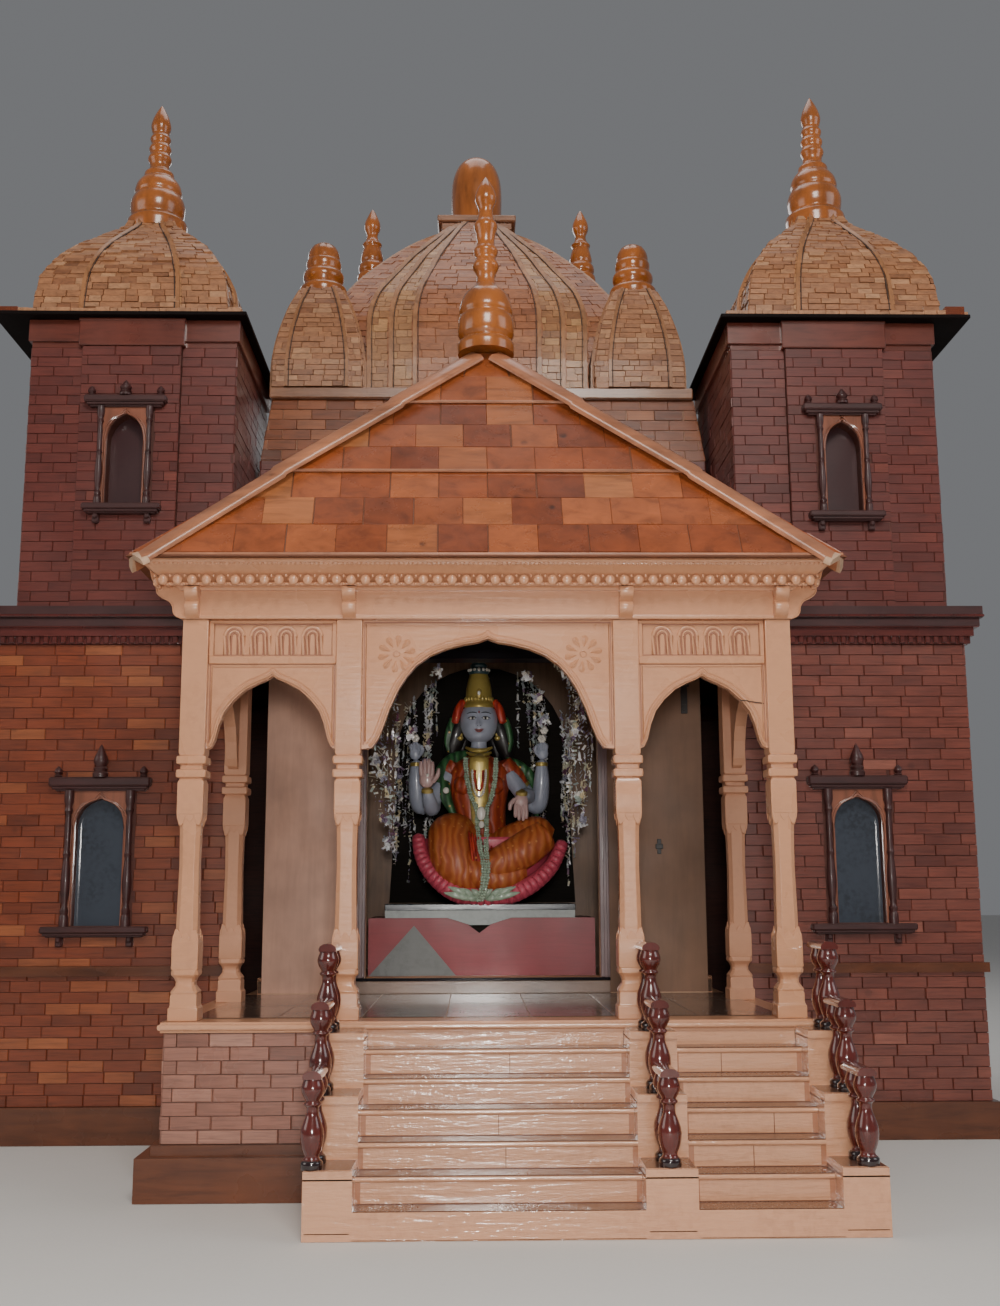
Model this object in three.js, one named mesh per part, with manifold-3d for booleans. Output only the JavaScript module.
// Wooden model of a hindu temple: a brick-built hall with two corner towers under
// square domes, a large ribbed dome with four small ones, and an open porch with steps.
// Millimetres. X runs to the right, Y to the back, Z up from the base.
// The sizes below are drawn with Y = 0 on the front wall; the last lines move the
// whole model so that its origin is the middle of its footprint.
import * as THREE from "three";
import { mergeVertices } from "three/addons/utils/BufferGeometryUtils.js";
import Module from "manifold-3d";

const wasm = await Module();
wasm.setup();

// Driving dimensions
const GAP = 0.3; // clearance where two pieces meet
const WALL = 20; // thickness of the brick-faced walls

const HALL_HALF = 1145; // lower storey, half width
const HALL_BACK = 1518;
const PLINTH_TOP = 81;
const STRING_Z = [366, 388];
const WALL_TOP = 1131;
const CORNICE_TOP = 1190;
const TERRACE_TOP = 1218;
const TERRACE_OUT = 38; // overhang of the terrace board
const PORCH_BAY = 565; // half width of the opening behind the porch

const TOWER_X = 869;
const TOWER_HALF = 253;
const TOWER_FRONT = 33;
const TOWER_BACK = 539;
const TOWER_TOP = 1886;
const EAVE_X = [588, 1212];
const EAVE_Y = [-8, 588];
const EAVE_Z = [1957, 1967];
const TOWER_DOME_Y = 290;
const TOWER_DOME = { // the two are not quite alike
  left: { x: -888, top: 2325, tip: 2699 },
  right: { x: 912, top: 2350, tip: 2737 },
};

const BLOCK_HALF = 600; // upper hall block
const BLOCK_FRONT = 358;
const SKIRT_Z = [1700, 1881];
const PLATFORM_TOP = 1912;
const DOME_X = -17; // centre of the large dome, a little to the left
const DOME_Y = 938;
const DOME_TOP = 2609;
const SMALL_OFFSET = 450; // small domes from the large dome's axis, front and rear
const SMALL_X = { left: -456, right: 430 };
const SMALL_TOP = 2229;
const PINNACLE_X = 336;

const PORCH_HALF = 600;
const PORCH_FRONT = -590;
const FLOOR_Z = [296, 315];
const POST_X = [271, 571];
const REAR_POST_X = 563;
const POST_Y = -550;
const REAR_POST_Y = -99;
const POST_HALF = 25;
const ARCH_SPRING = 825;
const BEAM_Z = 1079;
const PORCH_EAVE_Z = 1185;
const ROOF_HALF = 692;
const ROOF_Y = [-660, -5];
const ROOF_APEX = 1748;
const ROOF_TOP = 1722; // the roof is cut off here under its finial

const RISE = 45;
const TREAD = 52;
const STEPS = 6;
const STAIR_FRONT = -902;
const CHEEK_X = { left: [-304, -224], middle: [250, 335], right: [570, 646] };
const CHEEK_Z = [95, 197, 291]; // tops of the three tiers, under their caps
const CHEEK_Y = [-902, -796, -692, -598];
const CAP = 12;
const BALUSTER_X = { left: -289, middle: 293, right: 618 };
const BALUSTER = 143;

// Materials
function paint(color, roughness) {
  return new THREE.MeshStandardMaterial({ color, roughness, metalness: 0 });
}
const brick = paint(0x8a4a38, 0.45);
const maroon = paint(0x4a2422, 0.35);
const cream = paint(0xc9986f, 0.25);
const chips = paint(0xbd9468, 0.5);
const shingle = paint(0x9a5a38, 0.35);
const turned = paint(0xa8672c, 0.25);
const baluster = paint(0x5a2420, 0.25);
const ply = paint(0x9c8468, 0.7);
const dark = paint(0x2c1a1c, 0.6);
const red = paint(0xa83838, 0.5);
const stone = paint(0xa8a8a4, 0.5);
const figure = paint(0xc87838, 0.45);

// Solids
function solidOf(shape) {
  if (!shape.isBufferGeometry) return shape;
  const bare = shape.index ? shape.toNonIndexed() : shape.clone();
  bare.deleteAttribute("normal");
  bare.deleteAttribute("uv");
  const merged = mergeVertices(bare, 1e-4);
  const vertProperties = merged.attributes.position.array;
  const triVerts = new Uint32Array(merged.index.array);
  return new wasm.Manifold(new wasm.Mesh({ numProp: 3, vertProperties, triVerts }));
}

function join(...shapes) {
  return shapes.map(solidOf).reduce((a, b) => a.add(b));
}

function cut(shape, ...tools) {
  return tools.map(solidOf).reduce((a, b) => a.subtract(b), solidOf(shape));
}

function geometryOf(solid) {
  const mesh = solid.getMesh();
  const position = new THREE.BufferAttribute(new Float32Array(mesh.vertProperties), 3);
  const geometry = new THREE.BufferGeometry().setAttribute("position", position);
  return geometry.setIndex(new THREE.BufferAttribute(new Uint32Array(mesh.triVerts), 1));
}

function moved(shape, { turn = 0, x = 0, y = 0, z = 0 }) {
  const geometry = shape.isBufferGeometry ? shape.clone() : geometryOf(shape);
  return geometry.rotateZ(turn).translate(x, y, z);
}

// Basic pieces
function block(x0, x1, y0, y1, z0, z1) {
  const geometry = new THREE.BoxGeometry(x1 - x0, y1 - y0, z1 - z0);
  return geometry.translate((x0 + x1) / 2, (y0 + y1) / 2, (z0 + z1) / 2);
}

function shapeOf(points) {
  return new THREE.Shape(points.map(([a, b]) => new THREE.Vector2(a, b)));
}

// Outline in X and Z, running from y0 to y1.
function frontPlate(points, y0, y1) {
  const options = { depth: y1 - y0, bevelEnabled: false };
  const geometry = new THREE.ExtrudeGeometry(shapeOf(points), options);
  return geometry.rotateX(Math.PI / 2).translate(0, y1, 0);
}

// Outline in Y and Z, running from x0 to x1.
function sidePlate(points, x0, x1) {
  const options = { depth: x1 - x0, bevelEnabled: false };
  const geometry = new THREE.ExtrudeGeometry(shapeOf(points), options);
  const turn = new THREE.Matrix4().set(0, 0, 1, x0, 1, 0, 0, 0, 0, 1, 0, 0, 0, 0, 0, 1);
  return geometry.applyMatrix4(turn);
}

// Profile of [radius, height] pairs turned about an upright axis; it starts and ends on it.
function lathe(profile, sides, x = 0, y = 0) {
  const points = profile.map(([r, z]) => new THREE.Vector2(r, z));
  const geometry = new THREE.LatheGeometry(points, sides, Math.PI / sides);
  return geometry.rotateX(Math.PI / 2).translate(x, y, 0);
}

// Closed skin through rings of [x, y] points, each ring at its own height.
function loft(rings) {
  const count = rings[0].points.length;
  const position = rings.flatMap(({ points, z }) => points.flatMap(([x, y]) => [x, y, z]));
  const index = [];
  for (let k = 0; k + 1 < rings.length; k++)
    for (let i = 0; i < count; i++) {
      const a = k * count + i;
      const b = k * count + ((i + 1) % count);
      index.push(a, b, b + count, a, b + count, a + count);
    }
  const capOf = (ring) => {
    const outline = ring.points.map(([x, y]) => new THREE.Vector2(x, y));
    return THREE.ShapeUtils.triangulateShape(outline, []);
  };
  const top = (rings.length - 1) * count;
  for (const [a, b, c] of capOf(rings[0])) index.push(a, c, b);
  for (const [a, b, c] of capOf(rings[rings.length - 1])) index.push(top + a, top + b, top + c);
  const geometry = new THREE.BufferGeometry();
  geometry.setAttribute("position", new THREE.Float32BufferAttribute(position, 3));
  return geometry.setIndex(index);
}

function rectangle(x0, x1, y0, y1) {
  return [[x0, y0], [x1, y0], [x1, y1], [x0, y1]];
}

// Square plan with a raised panel in the middle of each side.
function panelSquare(half, panel, raise, x, y) {
  const side = [[half, -half], [half, -panel], [half + raise, -panel], [half + raise, panel], [half, panel]];
  return quarterTurns(side, x, y);
}

// Cross plan whose four arms each carry two raised panels, one on the other.
function crossPlan(reach, arm, x, y) {
  const [a, b] = [0.8 * arm, 0.58 * arm];
  const side = [
    [arm, -arm], [reach - 24, -arm], [reach - 24, -a], [reach - 12, -a], [reach - 12, -b], [reach, -b],
    [reach, b], [reach - 12, b], [reach - 12, a], [reach - 24, a], [reach - 24, arm],
  ];
  return quarterTurns(side, x, y);
}

function quarterTurns(side, x, y) {
  const turns = [[1, 0], [0, 1], [-1, 0], [0, -1]];
  return turns.flatMap(([c, s]) => side.map(([a, b]) => [x + a * c - b * s, y + a * s + b * c]));
}

const model = new THREE.Group();
function add(name, shape, material) {
  const geometry = geometryOf(solidOf(shape));
  geometry.computeVertexNormals();
  const mesh = new THREE.Mesh(geometry, material);
  mesh.name = name;
  model.add(mesh);
  return mesh;
}

// Windows: opening outline, then the frame fixed on the wall around it
const LOWER_WINDOW = {
  half: 56, sill: 478, spring: 706, apex: 768, column: 70, thick: 11,
  sillHalf: 121, sillZ: [453, 477], hoodHalf: 117, hoodZ: [785, 817], bud: 893,
};
const UPPER_WINDOW = {
  half: 44, sill: 1463, spring: 1622, apex: 1693, column: 56, thick: 9,
  sillHalf: 92, sillZ: [1438, 1462], hoodHalf: 98, hoodZ: [1708, 1736], bud: 1775,
};
// the one on the left tower's front sits a little higher and is a little wider
const LEFT_UPPER_WINDOW = {
  half: 45, sill: 1479, spring: 1638, apex: 1709, column: 59, thick: 9,
  sillHalf: 94, sillZ: [1454, 1478], hoodHalf: 100, hoodZ: [1724, 1752], bud: 1791,
};

function archedOpening(w, grow = 0) {
  const half = w.half + grow;
  const rise = w.apex - w.spring + grow;
  const arc = [[1, 0], [0.95, 0.3], [0.8, 0.58], [0.55, 0.8], [0.25, 0.93], [0, 1]];
  const right = arc.map(([a, b]) => [half * a, w.spring + rise * b]);
  const left = right.slice(0, -1).reverse().map(([a, b]) => [-a, b]);
  return [[-half, w.sill - grow], [half, w.sill - grow], ...right, ...left];
}

function windowHole(w) {
  return frontPlate(archedOpening(w), -60, 60);
}

function windowFrame(w) {
  const { column, thick, sillHalf, hoodHalf } = w;
  const plateHalf = column + thick;
  const plate = block(-plateHalf, plateHalf, -10, -GAP, w.sillZ[1] - 1, w.hoodZ[0] + 1);
  const pieces = [cut(plate, frontPlate(archedOpening(w), -40, 20))];
  const low = w.sillZ[1] - 1;
  const high = w.hoodZ[0] + 1;
  const tall = high - low;
  const profile = [
    [0, low], [thick, low], [thick, low + 0.08 * tall], [0.6 * thick, low + 0.14 * tall],
    [thick, low + 0.3 * tall], [0.65 * thick, low + 0.5 * tall], [0.6 * thick, low + 0.8 * tall],
    [thick, low + 0.88 * tall], [thick, high], [0, high],
  ];
  for (const side of [-1, 1]) {
    pieces.push(lathe(profile, 6, side * column, -14));
    const bracket = side * 0.66 * sillHalf;
    const foot = w.sillZ[0] - 22;
    pieces.push(block(bracket - 8, bracket + 8, -16, -GAP, foot, w.sillZ[0] + 1));
    const stud = side * 0.84 * hoodHalf;
    const top = w.hoodZ[1];
    pieces.push(lathe([[0, top - 1], [9, top - 1], [11, top + 10], [0, top + 26]], 6, stud, -12));
  }
  const budLow = w.hoodZ[1] - 1;
  const budTall = w.bud - budLow;
  const budHalf = 0.2 * hoodHalf;
  pieces.push(lathe([
    [0, budLow], [budHalf * 0.75, budLow], [budHalf * 0.75, budLow + 0.2 * budTall],
    [budHalf * 0.55, budLow + 0.3 * budTall], [budHalf * 0.7, budLow + 0.5 * budTall],
    [budHalf * 0.3, budLow + 0.85 * budTall], [0, w.bud],
  ], 6, 0, -18));
  pieces.push(block(-sillHalf, sillHalf, -30, -GAP, w.sillZ[0], w.sillZ[1]));
  pieces.push(block(-hoodHalf, hoodHalf, -28, -GAP, w.hoodZ[0], w.hoodZ[1]));
  return join(...pieces);
}

// Each window: where its middle is on the wall, and which way it faces
const BAY_OUT = 13; // the towers' middle bays stand out by this much
const sideTurn = { left: -Math.PI / 2, right: Math.PI / 2 };
const windows = {
  window_front_lower_left: { w: LOWER_WINDOW, x: -892, y: 0, turn: 0 },
  window_front_lower_right: { w: LOWER_WINDOW, x: 870, y: 0, turn: 0 },
  window_front_upper_left: { w: LEFT_UPPER_WINDOW, x: -878, y: TOWER_FRONT - BAY_OUT, turn: 0 },
  window_front_upper_right: { w: UPPER_WINDOW, x: 882, y: TOWER_FRONT - BAY_OUT, turn: 0 },
  window_side_lower_left: { w: LOWER_WINDOW, x: -HALL_HALF, y: 290, turn: sideTurn.left },
  window_side_lower_right: { w: LOWER_WINDOW, x: HALL_HALF, y: 290, turn: sideTurn.right },
  window_side_upper_left: { w: UPPER_WINDOW, x: -TOWER_X - TOWER_HALF - BAY_OUT, y: 286, turn: sideTurn.left },
  window_side_upper_right: { w: UPPER_WINDOW, x: TOWER_X + TOWER_HALF + BAY_OUT, y: 286, turn: sideTurn.right },
};
const holes = {};
for (const [name, { w, x, y, turn }] of Object.entries(windows)) {
  const frame = add(name, windowFrame(w), maroon);
  frame.position.set(x, y, 0);
  frame.rotation.z = turn;
  holes[name] = moved(windowHole(w), { turn, x, y });
}

// Lower storey
const H = HALL_HALF;
const sill = PORCH_BAY - GAP; // the low wall under the porch floor is part of the plinth
add("base_plinth", join(
  cut(
    block(-H - 16, H + 16, -16, HALL_BACK + 16, 0, PLINTH_TOP),
    block(-H + WALL, H - WALL, WALL, HALL_BACK - WALL, -10, PLINTH_TOP + 10)),
  block(-sill, sill, 0, WALL, 0, FLOOR_Z[0] - GAP),
), brick);
const wallLow = PLINTH_TOP + GAP;
const sideY = [WALL + GAP, HALL_BACK - WALL - GAP];
add("lower_front_wall_left", cut(
  block(-H, -PORCH_BAY, 0, WALL, wallLow, WALL_TOP), holes.window_front_lower_left), brick);
add("lower_front_wall_right", cut(
  block(PORCH_BAY, H, 0, WALL, wallLow, WALL_TOP), holes.window_front_lower_right), brick);
add("lower_side_wall_left", cut(
  block(-H, -H + WALL, ...sideY, wallLow, WALL_TOP), holes.window_side_lower_left), brick);
add("lower_side_wall_right", cut(
  block(H - WALL, H, ...sideY, wallLow, WALL_TOP), holes.window_side_lower_right), brick);
add("lower_back_wall", block(-H, H, HALL_BACK - WALL, HALL_BACK, wallLow, WALL_TOP), brick);
add("string_course", cut(
  block(-H - 12, H + 12, -12, HALL_BACK + 12, ...STRING_Z),
  block(-H - GAP, H + GAP, -GAP, HALL_BACK + GAP, 300, 400),
  block(-PORCH_BAY - 5, PORCH_BAY + 5, -30, 30, 300, 400),
), maroon);

// Cornice and terrace; both are flat behind the porch, which stands against them
const corniceLow = WALL_TOP + GAP;
const porchSide = ROOF_HALF + 8;
const corniceBand = (out, z0, z1) => block(-H - out, H + out, -out, HALL_BACK + out, z0, z1);
add("main_cornice", cut(
  join(
    corniceBand(8, corniceLow, 1150), corniceBand(20, 1149, 1170), corniceBand(30, 1169, CORNICE_TOP)),
  block(-H + WALL, H - WALL, WALL, HALL_BACK - WALL, 1100, 1300),
  block(-porchSide, porchSide, -80, 0, 1100, 1300),
), maroon);
add("terrace_roof", cut(
  corniceBand(TERRACE_OUT, CORNICE_TOP + GAP, TERRACE_TOP),
  block(-porchSide, porchSide, -80, 0, 1100, 1300),
), maroon);

// Towers
const towerLow = TERRACE_TOP + GAP;
const ringPlan = (x, out, z0, z1) => block(
  x - TOWER_HALF - out, x + TOWER_HALF + out, TOWER_FRONT - out, TOWER_BACK + out, z0, z1);
for (const [side, sign] of [["left", -1], ["right", 1]]) {
  const x = sign * TOWER_X;
  const outer = sign * (TOWER_X + TOWER_HALF);
  const bayX = sign * 872;
  const bays = (out, z0, z1) => [
    block(bayX - 122 - out, bayX + 122 + out, TOWER_FRONT - BAY_OUT - out, TOWER_FRONT + 5, z0, z1),
    block(
      Math.min(outer - 5 * sign, outer + (BAY_OUT + out) * sign),
      Math.max(outer - 5 * sign, outer + (BAY_OUT + out) * sign),
      286 - 122 - out, 286 + 122 + out, z0, z1),
  ];
  const hollow = block(
    x - TOWER_HALF + WALL, x + TOWER_HALF - WALL,
    TOWER_FRONT + WALL, TOWER_BACK - WALL, 1100, EAVE_Z[0]);
  add("tower_walls_" + side, cut(
    join(ringPlan(x, 0, towerLow, TOWER_TOP), ...bays(0, towerLow, TOWER_TOP)),
    hollow, holes["window_front_upper_" + side], holes["window_side_upper_" + side],
  ), brick);
  const eaveX = sign > 0 ? EAVE_X : [-EAVE_X[1], -EAVE_X[0]];
  add("tower_eave_" + side, join(
    cut(join(
      ringPlan(x, 8, TOWER_TOP + 15, EAVE_Z[0] + 1),
      ringPlan(x, 0, TOWER_TOP + GAP, TOWER_TOP + 20),
      ...bays(8, TOWER_TOP + GAP, EAVE_Z[0] + 1)), hollow),
    block(...eaveX, ...EAVE_Y, ...EAVE_Z),
  ), maroon);

  // Square dome, bulging and drawn in to a narrow neck, with a turned finial
  const { x: domeX, top: neck, tip } = TOWER_DOME[side];
  const foot = EAVE_Z[1] + GAP;
  const profile = [
    [0, 250], [0.12, 249], [0.32, 240], [0.43, 225], [0.54, 204], [0.67, 169], [0.83, 114], [0.94, 76], [1, 68],
  ];
  const rings = profile.map(([share, half]) => ({
    z: foot + share * (neck - foot),
    points: panelSquare(half - 7, 0.5 * half, 7, domeX, TOWER_DOME_Y),
  }));
  const finial = lathe([
    [0, -0.03], [77, -0.03], [79, 0.05], [73, 0.07], [66, 0.09], [70, 0.13], [72, 0.19], [67, 0.24],
    [60, 0.27], [62, 0.3], [58, 0.35], [48, 0.39], [40, 0.41], [38, 0.45], [27, 0.475],
    [25, 0.52], [31, 0.565], [25, 0.607], [29, 0.647], [23, 0.686], [27, 0.726], [21, 0.76], [24, 0.794],
    [26, 0.833], [20, 0.895], [9, 0.958], [0, 1],
  ].map(([r, share]) => [r, neck + share * (tip - neck)]), 12, domeX, TOWER_DOME_Y);
  add("tower_dome_" + side, join(loft(rings), finial), chips);
}

// Upper hall block with its shingled skirt and the platform of the domes
const blockBack = HALL_BACK;
add("hall_walls", cut(
  block(-BLOCK_HALF, BLOCK_HALF, BLOCK_FRONT, blockBack, TERRACE_TOP + GAP, SKIRT_Z[0]),
  block(-BLOCK_HALF + WALL, BLOCK_HALF - WALL, BLOCK_FRONT + WALL, blockBack - WALL, 1200, 1800),
), brick);
const skirtRing = (inset, z) => ({
  z, points: rectangle(-BLOCK_HALF + inset, BLOCK_HALF - inset, BLOCK_FRONT + inset, blockBack - inset),
});
add("skirt_roof", cut(
  join(
    loft([skirtRing(0, SKIRT_Z[0] + GAP), skirtRing(24, SKIRT_Z[1] + 1)]),
    block(-580, 570, BLOCK_FRONT + 10, blockBack - 10, SKIRT_Z[1], PLATFORM_TOP)),
  loft([skirtRing(20, SKIRT_Z[0] - 5), skirtRing(45, SKIRT_Z[1])]),
), shingle);

// Large ribbed dome
const domeProfile = [
  [PLATFORM_TOP + GAP, 540, 308], [2012, 538, 308], [2100, 528, 310], [2169, 508, 308],
  [2240, 477, 290], [2290, 446, 264], [2340, 413, 234], [2398, 376, 200], [2458, 330, 158],
  [2532, 264, 108], [2582, 204, 76], [DOME_TOP, 150, 66],
];
const domeSkin = (out) => loft(domeProfile.map(([z, reach, arm]) => ({
  z, points: crossPlan(reach + out, arm + out, DOME_X, DOME_Y),
})));
add("main_dome", domeSkin(0), chips);
add("main_finial", join(
  block(DOME_X - 123, DOME_X + 123, DOME_Y - 123, DOME_Y + 123, 2632, 2654),
  block(DOME_X - 110, DOME_X + 110, DOME_Y - 110, DOME_Y + 110, DOME_TOP + GAP, 2633),
  lathe([
    [0, 2650], [88, 2650], [88, 2664], [80, 2672], [81, 2760], [79, 2812], [70, 2852],
    [54, 2882], [30, 2900], [0, 2906],
  ], 16, DOME_X, DOME_Y),
), turned);

// Four small domes in the corners of the cross, each with a ringed finial
for (const [row, y] of [["front", DOME_Y - SMALL_OFFSET], ["rear", DOME_Y + SMALL_OFFSET]])
  for (const [side, sign] of [["left", -1], ["right", 1]]) {
    const x = SMALL_X[side];
    const profile = [
      [PLATFORM_TOP + GAP, 128], [1990, 127], [2060, 117], [2120, 102], [2170, 86], [2205, 71], [SMALL_TOP, 60],
    ];
    const rings = profile.map(([z, half]) => ({ z, points: panelSquare(half - 6, 0.68 * half, 6, x, y) }));
    const finial = lathe([
      [0, SMALL_TOP - 5], [64, SMALL_TOP - 5], [66, 2244], [58, 2256], [50, 2262], [56, 2276], [56, 2290],
      [48, 2300], [42, 2304], [48, 2316], [48, 2328], [40, 2336], [40, 2342], [43, 2350], [41, 2364],
      [34, 2376], [20, 2385], [0, 2389],
    ], 12, x, y);
    add("small_dome_" + row + "_" + side, join(loft(rings), finial), chips);
  }

// Two slim pinnacles riding on the shoulders of the large dome
for (const [side, sign] of [["left", -1], ["right", 1]]) {
  const x = DOME_X + sign * PINNACLE_X;
  add("pinnacle_" + side, cut(join(
    lathe([
      [0, 2380], [52, 2380], [52, 2430], [47, 2438], [50, 2448], [49, 2466], [44, 2474], [46, 2484], [45, 2500],
      [40, 2508], [42, 2518], [40, 2536], [35, 2552], [31, 2576], [27, 2598], [31, 2608], [22, 2620],
      [17, 2640], [25, 2662], [24, 2684], [14, 2708], [6, 2724], [0, 2732],
    ], 10, x, DOME_Y),
  ), domeSkin(GAP)), turned);
}

// Porch: hollow podium with a projecting base, floor, and the sanctum behind it
const P = PORCH_HALF;
const podiumBack = -16 - GAP;
add("porch_podium", cut(
  join(
    block(-P - 42, P + 42, PORCH_FRONT - 24, podiumBack, 0, 78),
    block(-P - 16, P + 16, PORCH_FRONT - 9, podiumBack, 77, 98),
    block(-P, P, PORCH_FRONT, podiumBack, 97, FLOOR_Z[0] - GAP)),
  block(-P + WALL, P - WALL, PORCH_FRONT + WALL, podiumBack - WALL, -10, 350),
  block(CHEEK_X.left[0] - GAP, P + 60, -800, PORCH_FRONT, -10, 110),
), brick);
const FRAME_Y = [100, 133];
add("porch_floor", join(
  block(-P - 7, P + 7, PORCH_FRONT - 7, -GAP, ...FLOOR_Z),
  block(-sill, sill, -5, 570, ...FLOOR_Z),
  block(-540, 540, FRAME_Y[1] + GAP, 560, FLOOR_Z[1] - 1, 352),
), cream);

const SHRINE_TOP = 1188; // just under the ceiling
add("sanctum_screen", cut(
  join(
    block(-304, 294, ...FRAME_Y, FLOOR_Z[1] + GAP, SHRINE_TOP),
    block(-528, 528, 115, 127, FLOOR_Z[1] + GAP, SHRINE_TOP)),
  block(-284, 272, 50, 200, 352, 1178),
), ply);
add("sanctum_back", block(-540, 540, 546, 558, 352 + GAP, SHRINE_TOP), dark);
add("murti_pedestal", block(-282, 266, 170, 480, 352 + GAP, 490), red);
add("murti_slab", block(-242, 218, 166, 470, 490 + GAP, 522), stone);

// Seated figure with four arms, in plain masses
const MY = 300;
const MURTI_X = -14;
function ball(x, y, z, rx, ry, rz, sides = 10, rings = 6) {
  const geometry = new THREE.SphereGeometry(1, sides, rings);
  return geometry.rotateX(Math.PI / 2).scale(rx, ry, rz).translate(x, y, z);
}
function limb(points, r0, r1) {
  const pieces = [];
  for (let i = 0; i + 1 < points.length; i++) {
    const a = new THREE.Vector3(...points[i]);
    const b = new THREE.Vector3(...points[i + 1]);
    const span = new THREE.Vector3().subVectors(b, a);
    const rod = new THREE.CylinderGeometry(r1, r0, span.length(), 7);
    const up = new THREE.Vector3(0, 1, 0);
    const turn = new THREE.Quaternion().setFromUnitVectors(up, span.clone().normalize());
    rod.applyQuaternion(turn).translate((a.x + b.x) / 2, (a.y + b.y) / 2, (a.z + b.z) / 2);
    pieces.push(rod, ball(b.x, b.y, b.z, r1 * 1.15, r1 * 1.15, r1 * 1.15, 7, 4));
  }
  return pieces;
}
const arms = [-1, 1].flatMap((s) => [
  ...limb([[s * 78, MY, 862], [s * 144, MY + 12, 772], [s * 162, MY - 14, 900]], 24, 18),
  ...limb([[s * 72, MY - 10, 855], [s * 118, MY - 40, 745], [s * 78, MY - 95, 790]], 24, 18),
]);
add("murti", moved(cut(join(
  lathe([[0, 522 + GAP], [70, 522 + GAP], [122, 546], [166, 600], [188, 662], [190, 700], [160, 700], [0, 660]], 16)
    .scale(1, 0.6, 1).translate(26, MY - 6, 0),
  ball(-66, MY - 76, 650, 64, 58, 98),
  ball(118, MY - 74, 690, 80, 56, 46),
  ball(48, MY - 82, 632, 84, 54, 50),
  lathe([[0, 640], [84, 640], [66, 720], [72, 790], [94, 850], [70, 884], [30, 900], [27, 925], [0, 930]], 12)
    .scale(1, 0.66, 1).translate(0, MY, 0),
  ball(0, MY - 8, 958, 43, 47, 56),
  lathe([[0, 990], [40, 990], [42, 1020], [37, 1056], [31, 1092], [24, 1120], [11, 1146], [0, 1154]], 12, 0, MY - 4),
  ...arms,
), block(-300, 300, 100, 600, 400, 522 + GAP)), { x: MURTI_X }), figure);

// Porch posts: square foot, moulded neck, faceted shaft, square capital and head
function post(x, y) {
  const square = (half, z0, z1) => block(x - half, x + half, y - half, y + half, z0, z1);
  const h = POST_HALF;
  return join(
    square(h + 3, FLOOR_Z[1] + GAP, 340),
    square(h, 339, 362),
    lathe([[0, 355], [22, 355], [25, 366], [17, 378], [17, 388], [25, 400], [22, 412], [0, 412]], 8, x, y),
    square(h, 406, 462),
    lathe([[0, 455], [20, 455], [21, 480], [18, 560], [18, 640], [21, 690], [21, 705], [0, 705]], 8, x, y),
    square(h, 697, 764),
    square(h + 4, 770, 784),
    square(h - 3, 760, 816),
    square(h + 4, 796, 810),
    square(h, 815, BEAM_Z - GAP),
  );
}
const [PX1, PX2] = POST_X;
add("porch_post_outer_left", post(-PX2, POST_Y), cream);
add("porch_post_inner_left", post(-PX1, POST_Y), cream);
add("porch_post_inner_right", post(PX1, POST_Y), cream);
add("porch_post_outer_right", post(PX2, POST_Y), cream);
add("porch_post_rear_left", post(-REAR_POST_X, REAR_POST_Y), cream);
add("porch_post_rear_right", post(REAR_POST_X, REAR_POST_Y), cream);

// Arch boards: outline with a pointed arch cut from the lower edge. The arches are
// [share of the half width, share of the rise] from the post to the point.
const SIDE_ARCH = [
  [0.93, 0.03], [0.88, 0.12], [0.82, 0.33], [0.74, 0.51], [0.6, 0.67], [0.425, 0.81], [0.24, 0.895],
  [0.075, 0.955], [0, 1],
];
const CENTRE_ARCH = [
  [0.92, 0.01], [0.87, 0.09], [0.83, 0.2], [0.785, 0.35], [0.71, 0.54], [0.645, 0.655], [0.57, 0.755],
  [0.46, 0.845], [0.335, 0.905], [0.19, 0.947], [0.08, 0.967], [0, 1],
];
function archOutline(curve, a0, a1, apex) {
  const mid = (a0 + a1) / 2;
  const half = (a1 - a0) / 2;
  const rise = apex - ARCH_SPRING;
  const left = curve.map(([a, b]) => [mid - half * a, ARCH_SPRING + rise * b]);
  const right = curve.slice(0, -1).reverse().map(([a, b]) => [mid + half * a, ARCH_SPRING + rise * b]);
  const top = BEAM_Z - GAP;
  return [[a1, ARCH_SPRING], [a1, top], [a0, top], [a0, ARCH_SPRING], ...left, ...right];
}
const inset = POST_HALF + GAP;
const boardY = [POST_Y - 11, POST_Y + 11];
const sideBay = (a0, a1) => frontPlate(archOutline(SIDE_ARCH, a0, a1, 969), ...boardY);
add("arch_left", sideBay(-PX2 + inset, -PX1 - inset), cream);
add("arch_centre", frontPlate(archOutline(CENTRE_ARCH, -PX1 + inset, PX1 - inset, 1043), ...boardY), cream);
add("arch_right", sideBay(PX1 + inset, PX2 - inset), cream);
const flankArch = archOutline(SIDE_ARCH, POST_Y + inset, REAR_POST_Y - inset, 1000);
const flankX = (PX2 + REAR_POST_X) / 2;
add("side_arch_left", sidePlate(flankArch, -flankX - 11, -flankX + 11), cream);
add("side_arch_right", sidePlate(flankArch, flankX - 11, flankX + 11), cream);

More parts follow.
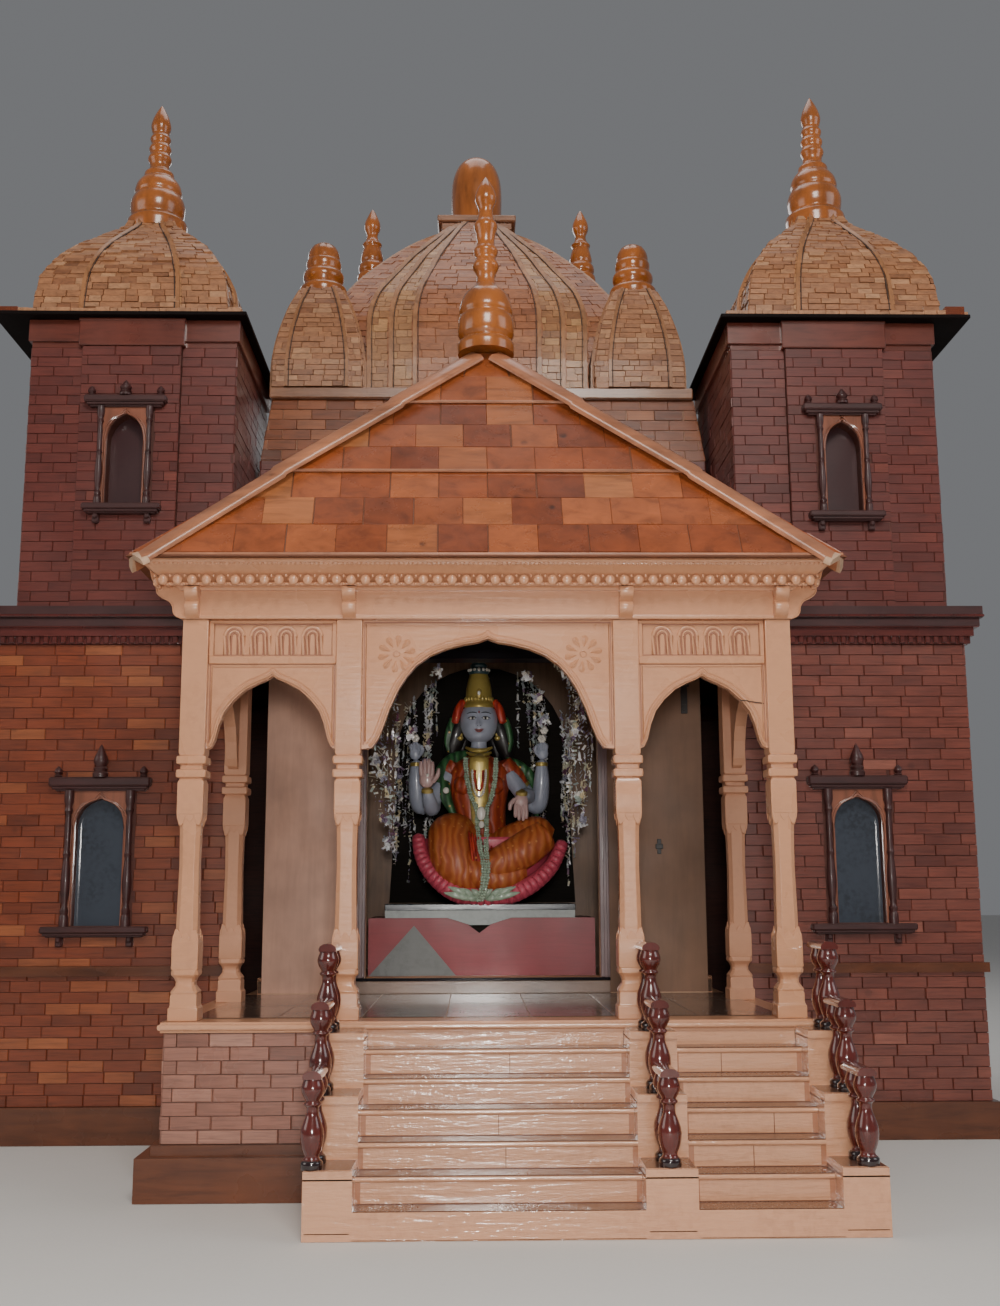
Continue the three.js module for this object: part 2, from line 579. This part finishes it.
// Porch frieze and flaring cornice, then the hollow pyramid roof in three lapped bands
const beam = [-PX2 - 27, PX2 + 27, POST_Y - 27, REAR_POST_Y + 27];
const flare = (out, z) => ({
  z, points: rectangle(beam[0] - out, beam[1] + out, beam[2] - out, Math.min(beam[3] + out, ROOF_Y[1])),
});
add("porch_entablature", cut(
  join(
    block(...beam, BEAM_Z, 1137),
    loft([flare(4, 1136), flare(14, 1144), flare(44, 1160), flare(62, 1174), flare(66, PORCH_EAVE_Z - GAP)])),
  block(-PX2 + 25, PX2 - 25, POST_Y + 25, REAR_POST_Y - 25, 1000, 1300),
), cream);
const roofMidY = (ROOF_Y[0] + ROOF_Y[1]) / 2;
const roofDeep = (ROOF_Y[1] - ROOF_Y[0]) / 2;
function roofRing(z, out) {
  const share = (ROOF_APEX - z) / (ROOF_APEX - PORCH_EAVE_Z);
  const a = ROOF_HALF * share + out;
  const b = roofDeep * share + out;
  return { z, points: rectangle(-a, a, roofMidY - b, roofMidY + b) };
}
const lap = [1185, 1393, 1579];
add("porch_roof", cut(
  loft([
    roofRing(lap[0], 0), roofRing(lap[0] + 8, 0), roofRing(lap[1] - 1, -6), roofRing(lap[1], 0),
    roofRing(lap[2] - 1, -6), roofRing(lap[2], 0), roofRing(ROOF_TOP, 0),
  ]),
  loft([roofRing(lap[0] - 20, -38), roofRing(1650, -22)]),
), shingle);
add("porch_finial", lathe([
    [0, ROOF_TOP + GAP], [62, ROOF_TOP + GAP], [63, 1745], [56, 1756], [62, 1768], [62, 1800], [57, 1812], [60, 1824],
    [54, 1850], [44, 1868], [30, 1880], [22, 1890], [21, 1912], [30, 1932], [22, 1950], [28, 1968],
    [20, 1984], [22, 2010], [27, 2030], [19, 2046], [16, 2070], [24, 2092], [20, 2116], [8, 2138], [0, 2150],
], 12, 0, roofMidY), turned);

// Steps: solid flights between the stepped cheek walls, each wall with capped tiers
function flight(x0, x1) {
  const points = [[PORCH_FRONT - 8, 0], [STAIR_FRONT, 0]];
  for (let k = 0; k < STEPS; k++) {
    const y = STAIR_FRONT + k * TREAD;
    points.push([y, (k + 1) * RISE]);
    points.push([Math.min(y + TREAD, PORCH_FRONT - 8), (k + 1) * RISE]);
  }
  return sidePlate(points, x0, x1);
}
const stairs = [flight(CHEEK_X.left[1] - 1, CHEEK_X.right[0] + 1)];
for (const side of ["left", "middle", "right"]) {
  const [x0, x1] = CHEEK_X[side];
  CHEEK_Z.forEach((z, k) => {
    const y0 = CHEEK_Y[k] - (k ? 1 : 0);
    stairs.push(block(x0, x1, y0, CHEEK_Y[k + 1], 0, z + 1));
    stairs.push(block(x0, x1, y0 - (k ? 5 : 0), CHEEK_Y[k + 1], z, z + CAP));
  });

  // Railing: a pair of turned balusters on each tier under a short rail
  const x = BALUSTER_X[side];
  const pieces = [];
  CHEEK_Z.forEach((z, k) => {
    const foot = z + CAP + GAP;
    const tall = foot + BALUSTER;
    const profile = [
      [0, foot], [17, foot], [17, foot + 14], [11, foot + 22], [17, foot + 52],
      [9, foot + 84], [9, foot + 100], [17, foot + 122], [14, tall], [0, tall],
    ];
    const front = CHEEK_Y[k] + 22;
    const rear = CHEEK_Y[k] + 74;
    pieces.push(lathe(profile, 7, x, front), lathe(profile, 7, x, rear));
    pieces.push(block(x - 15, x + 15, front - 17, CHEEK_Y[k + 1] + 22, tall - 1, tall + 12));
  });
  add("railing_" + side, cut(join(...pieces), block(x - 40, x + 40, POST_Y - 28, -400, 300, 500)), baluster);
}

add("stairs", join(...stairs), cream);

// Origin in the middle of the footprint
model.position.y = -(STAIR_FRONT + HALL_BACK + TERRACE_OUT) / 2;
const temple = new THREE.Group();
temple.add(model);

export default temple;
